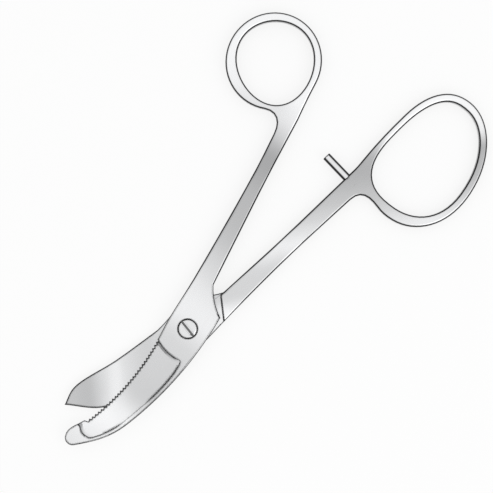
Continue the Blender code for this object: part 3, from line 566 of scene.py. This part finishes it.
def half_steel(name, side, ring, painted_shading, lean, ring_painted_shading):
    """Steel of one half: satin flats with lengthwise grain, ground blade with grain across it, painted
    reflections and shade along the half and round its ring, and painted dark lines.
    """
    look = bpy.context.scene.steel_look
    material, shop = new_material(name)
    place = HalfPlaces(shop, side, ring)
    drift = shop.drift(place.point, DRIFT_SCALE)
    in_ring = shop.fade(place.along, ring[0] - RING_BLEND[0], ring[0] - RING_BLEND[1])
    ground = ground_face(shop, place)
    grain = half_grain(shop, look, place, ring, in_ring, ground)

    leaning = shop.mixed(shop.fade(place.along, *LEAN_BLEND), *lean)
    level = place.along + place.outwards * leaning + swing(drift, DRIFT_ALONG)
    # Painted reflections and shade, along the half and round its ring
    shading_along = shop.ramp(level, stops_at(painted_shading, MM))
    around = shop.ramp(place.turned + swing(drift, DRIFT_ROUND), stops_at(ring_painted_shading, math.radians(1)))
    light = shop.mixed(in_ring, shading_along, around)
    light = light * (1.0 + swing(grain, look.grain_contrast)) * look.brightness
    # Painted dark lines along the edges and roundings
    light = light * half_lines(shop, look, place, ground, side == 1)

    roughness = shop.mixed(ground, look.satin, look.ground)
    roughness = roughness + swing(grain, look.grain_roughness) + swing(drift, look.drift_share)
    waves = shop.drift(place.point, look.wave_scale) * look.wave_depth
    polished_steel(shop, look, light, roughness, waves + grain * look.grain_depth)
    return material


def slot_shade(shop, look, place, up, floor, edges):
    """The edges' painted shade of a slotted head: left out beside the slot, whose floor gets painted
    shade.
    """
    turn = math.radians(SLOT_ANGLE)
    from_middle = shop.vectors("DOT_PRODUCT", place, (-math.sin(turn), math.cos(turn), 0.0))
    above = shop.fade(shop.part(place, "Z"), floor + SLOT_RISE[0], floor + SLOT_RISE[1])
    in_slot = (1.0 - above) * shop.fade(up, *SLOT_FACING)
    beside = 1.0 - shop.fade(shop.maths("ABSOLUTE", from_middle), *SLOT_CLEAR)
    return shop.mixed(beside, edges, 1.0) * shop.mixed(in_slot, 1.0, look.slot_painted_shade)


def turned_steel(name, tone, centre, axis, slot_floor=None):
    """Steel of a small turned piece, with the rings that the lathe leaves, and painted shade on its
    sides and along its edges.

    slot_floor is the height of a slot's floor, where the piece has a slot.
    """
    look = bpy.context.scene.steel_look
    material, shop = new_material(name)
    place = shop.coordinates("Object")
    offset = shop.vectors("SUBTRACT", place, centre, output="Vector")
    along = shop.vectors("DOT_PRODUCT", offset, axis)
    whole = shop.vectors("LENGTH", offset)
    radius = shop.maths("SQRT", whole * whole - along * along)
    rings = shop.grain(radius / look.grain_pitch, along / look.grain_pitch, 0.0, LATHE_SCALE)
    drift = shop.drift(place, SMALL_DRIFT_SCALE)
    up = shop.part(shop.coordinates("Normal"), "Z")
    varied = 1.0 + swing(rings, look.lathe_contrast) + swing(drift, look.drift_share)
    edges = edge_shade(shop, look, look.line_width)
    if slot_floor is not None:
        edges = slot_shade(shop, look, place, up, slot_floor, edges)
    light = tone_to_light(tone) * look.brightness * varied
    # Painted shade on the sides and along the edges
    light = light * side_shade(shop, look, up, look.line_painted_shade) * edges
    roughness = look.polished + swing(rings, look.grain_roughness)
    polished_steel(shop, look, light, roughness, rings * (look.grain_depth * LATHE_DEPTH))
    return material


def body_of(name):
    """The body that a node belongs to."""
    bodies = frame["record"]["behaviour"]["bodies"]
    return next(body for body, members in bodies.items() if name in members)


def finished(name, material):
    """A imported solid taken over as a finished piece, with welded corners and broken edges."""
    sizes = bpy.context.scene.shears_sizes
    bm = bmesh.new()
    bm.from_mesh(frame["nodes"][name].data)
    bmesh.ops.remove_doubles(bm, verts=bm.verts, dist=sizes.weld)
    bmesh.ops.dissolve_limit(bm, angle_limit=sizes.flat_angle, verts=bm.verts, edges=bm.edges)
    for face in bm.faces:
        face.smooth = True
        face.material_index = 0
    mesh = bpy.data.meshes.new(name + "_finished")
    bm.to_mesh(mesh)
    bm.free()
    mesh.materials.append(material)
    piece = bpy.data.objects.new(name + "_finished", mesh)
    bpy.context.scene.collection.objects.link(piece)
    bevel = piece.modifiers.new("edge_break", "BEVEL")
    bevel.limit_method = "ANGLE"
    bevel.angle_limit = sizes.sharp_angle
    bevel.width = sizes.edge_break
    bevel.segments = sizes.edge_steps
    bevel.use_clamp_overlap = False
    bevel.loop_slide = False
    normals = piece.modifiers.new("flat_faces_stay_flat", "WEIGHTED_NORMAL")
    normals.keep_sharp = True
    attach(piece, body_of(name))
    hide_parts(name)
    return piece


class SHEARS_OT_stage(bpy.types.Operator):
    """Makes the camera, the soft light and the pale table"""

    bl_idname = "shears.stage"
    bl_label = "Stage"

    def execute(self, context):
        look = context.scene.stage_look
        context.scene.view_settings.view_transform = "Standard"
        self.camera(context, look)
        self.table(context, look)
        self.sky(context, look)
        self.lamp(context, look)
        return {"FINISHED"}

    def camera(self, context, look):
        """A camera that looks straight down."""
        data = bpy.data.cameras.new("straight_down")
        data.lens = look.lens
        data.sensor_width = SENSOR_WIDTH
        away = look.view_width * look.lens / data.sensor_width
        camera = bpy.data.objects.new("straight_down", data)
        camera.location = (*VIEW_CENTRE, MID_HEIGHT + away)
        camera.rotation_euler = (0.0, 0.0, math.radians(CAMERA_ROLL))
        context.scene.collection.objects.link(camera)
        context.scene.camera = camera

    def table(self, context, look):
        """A pale table that takes the shears' shadow and shows as nearly white."""
        bm = bmesh.new()
        bmesh.ops.create_grid(bm, x_segments=1, y_segments=1, size=look.table_size / 2)
        mesh = bpy.data.meshes.new("table")
        bm.to_mesh(mesh)
        bm.free()
        table = bpy.data.objects.new("table", mesh)
        table.location = (0.0, 0.0, -TABLE_DROP)
        context.scene.collection.objects.link(table)
        material, shop = new_material("table_white")
        path = {name: shop.node("ShaderNodeLightPath", None, None, name)
                for name in ("Is Camera Ray", "Is Glossy Ray", "Is Transmission Ray")}
        seen = path["Is Camera Ray"] + path["Is Glossy Ray"] + path["Is Transmission Ray"]
        plain = shop.node("ShaderNodeEmission", None, {"Color": WHITE, "Strength": 1.0})
        cloth = shop.node("ShaderNodeBsdfDiffuse", None, {"Color": (*look.table_colour, 1.0)})
        both = shop.node(
            "ShaderNodeMixShader", None, {0: seen * look.background_share, 1: cloth, 2: plain})
        shop.node("ShaderNodeOutputMaterial", None, {"Surface": both})
        mesh.materials.append(material)

    def sky(self, context, look):
        """Soft light from all round, brightest overhead."""
        world = bpy.data.worlds.new("soft_room")
        world.use_nodes = True
        context.scene.world = world
        shop = NodeShop(world.node_tree)
        share = shop.ramp(shop.part(shop.coordinates("Generated"), "Z"), SKY_STOPS)
        strength = shop.mixed(share, look.horizon, look.zenith)
        back = shop.node("ShaderNodeBackground", None, {"Color": WHITE, "Strength": strength})
        shop.node("ShaderNodeOutputWorld", None, {"Surface": back})

    def lamp(self, context, look):
        """A wide soft lamp that points at the middle of the view."""
        data = bpy.data.lights.new("window", "AREA")
        data.shape = "SQUARE"
        data.size = look.lamp_size
        data.energy = look.lamp_power
        lamp = bpy.data.objects.new("window", data)
        lamp.location = look.lamp_place
        aim = Vector((*VIEW_CENTRE, 0.0)) - lamp.location
        lamp.rotation_mode = "QUATERNION"
        lamp.rotation_quaternion = aim.to_track_quat("-Z", "Y")
        context.scene.collection.objects.link(lamp)


class SHEARS_OT_toothed_half(bpy.types.Operator):
    """Finishes the toothed half with its thumb ring"""

    bl_idname = "shears.toothed_half"
    bl_label = "Toothed half"

    def execute(self, context):
        steel = half_steel("toothed_steel", 1, THUMB_RING, TOOTHED_PAINTED_SHADING, TOOTHED_LEAN, THUMB_PAINTED_SHADING)
        finished("toothed_half", steel)
        return {"FINISHED"}


class SHEARS_OT_plain_half(bpy.types.Operator):
    """Finishes the plain half with its finger ring"""

    bl_idname = "shears.plain_half"
    bl_label = "Plain half"

    def execute(self, context):
        steel = half_steel("plain_steel", -1, FINGER_RING, PLAIN_PAINTED_SHADING, PLAIN_LEAN, FINGER_PAINTED_SHADING)
        finished("plain_half", steel)
        return {"FINISHED"}


class SHEARS_OT_pivot_screw(bpy.types.Operator):
    """Finishes the slotted pivot screw"""

    bl_idname = "shears.pivot_screw"
    bl_label = "Pivot screw"

    def execute(self, context):
        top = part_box("pivot_screw")[1][2]
        steel = turned_steel("screw_steel", SCREW_TONE, (0, 0, 0), (0, 0, 1), top - SLOT_DEPTH)
        finished("pivot_screw", steel)
        return {"FINISHED"}


class SHEARS_OT_stop_pin(bpy.types.Operator):
    """Finishes the stop pin in the plain half's shank"""

    bl_idname = "shears.stop_pin"
    bl_label = "Stop pin"

    def execute(self, context):
        low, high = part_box("stop_pin")
        turn = math.radians(HALF_ANGLE)
        axis = (math.sin(turn), math.cos(turn), 0)
        steel = turned_steel("pin_steel", PIN_TONE, (low + high) / 2, axis)
        finished("stop_pin", steel)
        return {"FINISHED"}


class SHEARS_PT_panel(bpy.types.Panel):
    """Lists the shears' pieces, sizes and finishes"""

    bl_idname = "SHEARS_PT_panel"
    bl_label = "Plaster shears"
    bl_space_type = "VIEW_3D"
    bl_region_type = "UI"
    bl_category = "Shears"

    def draw(self, context):
        layout = self.layout
        for operator in OPERATORS:
            layout.operator(operator.bl_idname)
        for name in GROUPS:
            group = getattr(context.scene, name)
            box = layout.box()
            for key in group.__annotations__:
                box.prop(group, key)


GROUPS = {"shears_sizes": ShearsSizes, "steel_look": SteelLook, "stage_look": StageLook}
OPERATORS = (
    SHEARS_OT_stage,
    SHEARS_OT_toothed_half,
    SHEARS_OT_plain_half,
    SHEARS_OT_pivot_screw,
    SHEARS_OT_stop_pin,
)


def register():
    for name, group in GROUPS.items():
        bpy.utils.register_class(group)
        setattr(bpy.types.Scene, name, PointerProperty(type=group))
    for operator in OPERATORS:
        bpy.utils.register_class(operator)
    bpy.utils.register_class(SHEARS_PT_panel)


def unregister():
    bpy.utils.unregister_class(SHEARS_PT_panel)
    for operator in reversed(OPERATORS):
        bpy.utils.unregister_class(operator)
    for name, group in GROUPS.items():
        delattr(bpy.types.Scene, name)
        bpy.utils.unregister_class(group)


def main():
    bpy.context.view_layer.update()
    register()
    bpy.ops.shears.stage()
    bpy.ops.shears.toothed_half()
    bpy.ops.shears.plain_half()
    bpy.ops.shears.pivot_screw()
    bpy.ops.shears.stop_pin()


if __name__ == "__main__":
    main()
